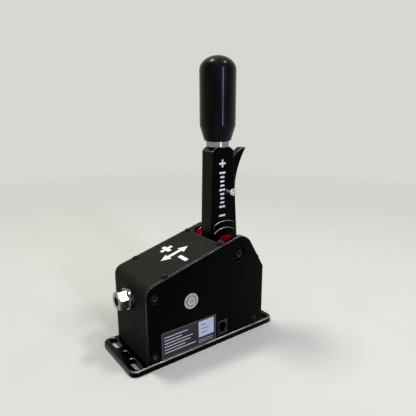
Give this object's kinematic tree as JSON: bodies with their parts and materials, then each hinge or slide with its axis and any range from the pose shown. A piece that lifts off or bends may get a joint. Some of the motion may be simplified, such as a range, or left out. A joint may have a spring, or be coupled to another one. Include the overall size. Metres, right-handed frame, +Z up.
{
  "type": "sim racing gear shifter",
  "caption": "Sequential gear shifter for a racing simulator: upright lever with a long cylindrical knob and a finger trigger on a wedge-shaped housing with a slotted base plate.",
  "frame": {"origin": "middle of the underside of the base plate, on the surface that the shifter is bolted to", "axes": "X runs along the base from the hex preload adjuster at -X to the trigger side at +X, Y across the base with the label and socket on the -Y side, Z up along the lever"},
  "size_m": [0.18, 0.07, 0.2923],
  "materials": {
    "black_anodised_plate": "black anodised plate, satin to glossy",
    "dark_coated_sheet": "matte dark grey coated sheet",
    "black_steel_screw": "blackened alloy steel screws",
    "machined_aluminium": "as machined",
    "red_anodised": "red anodised, turned",
    "ground_steel": "ground bright steel",
    "stainless_hex": "turned stainless steel",
    "turned_silver": "turned, bright",
    "spring_steel": "bright spring wire",
    "black_anodised_lever": "black anodised bar, satin",
    "black_knob": "glossy black",
    "black_rubber": "moulded rubber",
    "magnet": "nickel plated",
    "circuit_board": "green solder mask",
    "black_plastic": "moulded black plastic",
    "white_nylon": "natural nylon",
    "small_steel_screw": "zinc plated",
    "gold_contact": "gold plated wire",
    "dark_label": "dark printed film",
    "pale_tag": "pale plain film"
  },
  "bodies": {
    "housing": {"base_plate": "black_anodised_plate", "base_screws": "black_steel_screw", "side_plate_right": "black_anodised_plate", "side_plate_left": "black_anodised_plate", "top_cover": "dark_coated_sheet", "rear_cover": "dark_coated_sheet", "top_cover_screws": "black_steel_screw", "rear_cover_screws": "black_steel_screw", "side_screws": "black_steel_screw", "front_block": "machined_aluminium", "front_tie_bar": "machined_aluminium", "rear_tie_bar": "machined_aluminium", "pivot_axle": "ground_steel", "pivot_screws": "black_steel_screw", "pivot_washers": "black_steel_screw", "bearing_inner_rings": "ground_steel", "bearing_balls": "ground_steel", "bearing_sleeve": "ground_steel", "pivot_spacer_right": "red_anodised", "pivot_spacer_left": "red_anodised", "spring_housing": "machined_aluminium", "housing_pins": "turned_silver", "stop_block": "machined_aluminium", "stop_buffers": "black_rubber", "sensor_board": "circuit_board", "sensor_parts": "black_plastic", "sensor_lead": "black_plastic", "control_board": "circuit_board", "board_standoffs": "white_nylon", "board_screws": "small_steel_screw", "board_parts": "black_plastic", "jack": "black_plastic", "jack_contacts": "gold_contact", "label_plate": "dark_label", "label_tag": "pale_tag", "front_spring": "spring_steel", "rear_spring": "spring_steel"},
    "lever": {"lever_arm": "black_anodised_lever", "lever_stud": "ground_steel", "knob_collar": "turned_silver", "knob": "black_knob", "bearing_outer_rings": "ground_steel", "shift_magnet": "magnet", "trigger_pin": "ground_steel", "trigger_pin_clip": "ground_steel", "trigger_spring": "spring_steel", "trigger_sensor": "black_plastic"},
    "trigger": {"trigger": "black_anodised_lever", "trigger_magnet": "magnet"},
    "rod": {"centring_rod": "ground_steel", "rod_collar": "machined_aluminium", "rod_fork": "machined_aluminium", "fork_pin": "ground_steel", "fork_pin_clip": "ground_steel"},
    "adjuster": {"adjuster": "stainless_hex", "adjuster_clip": "ground_steel"},
    "seat": {"spring_seat": "machined_aluminium"}
  },
  "joints": [
    {"name": "lever_shift", "type": "hinge", "parent": "housing", "child": "lever", "pos_m": [0.0376, 0, 0.0943], "axis": [0, 1, 0], "range_deg": [-7, 7], "stiffness_Nm_per_rad": 40},
    {"name": "trigger_pull", "type": "hinge", "parent": "lever", "child": "trigger", "pos_m": [0.0413, 0, 0.157], "axis": [0, 1, 0], "range_deg": [-6, 0], "stiffness_Nm_per_rad": 1.5, "springref_deg": 3.44, "deforming": ["trigger_spring"]},
    {"name": "rod_slide", "type": "slide", "parent": "housing", "child": "rod", "axis": [1, 0, 0], "range_m": [-0.0038, 0.0038], "deforming": ["rear_spring", "front_spring"]},
    {"name": "adjuster_turn", "type": "hinge", "parent": "housing", "child": "adjuster", "pos_m": [-0.0767, 0, 0.0638], "axis": [1, 0, 0], "range_deg": [-720, 0]},
    {"name": "seat_slide", "type": "slide", "parent": "housing", "child": "seat", "axis": [1, 0, 0], "range_m": [0, 0.00301], "deforming": ["front_spring"]}
  ],
  "couplings": [
    {"joint": "rod_slide", "follows": "lever_shift", "m_per_rad": -0.0305},
    {"joint": "seat_slide", "follows": "adjuster_turn", "m_per_rad": -0.00023873}
  ]
}
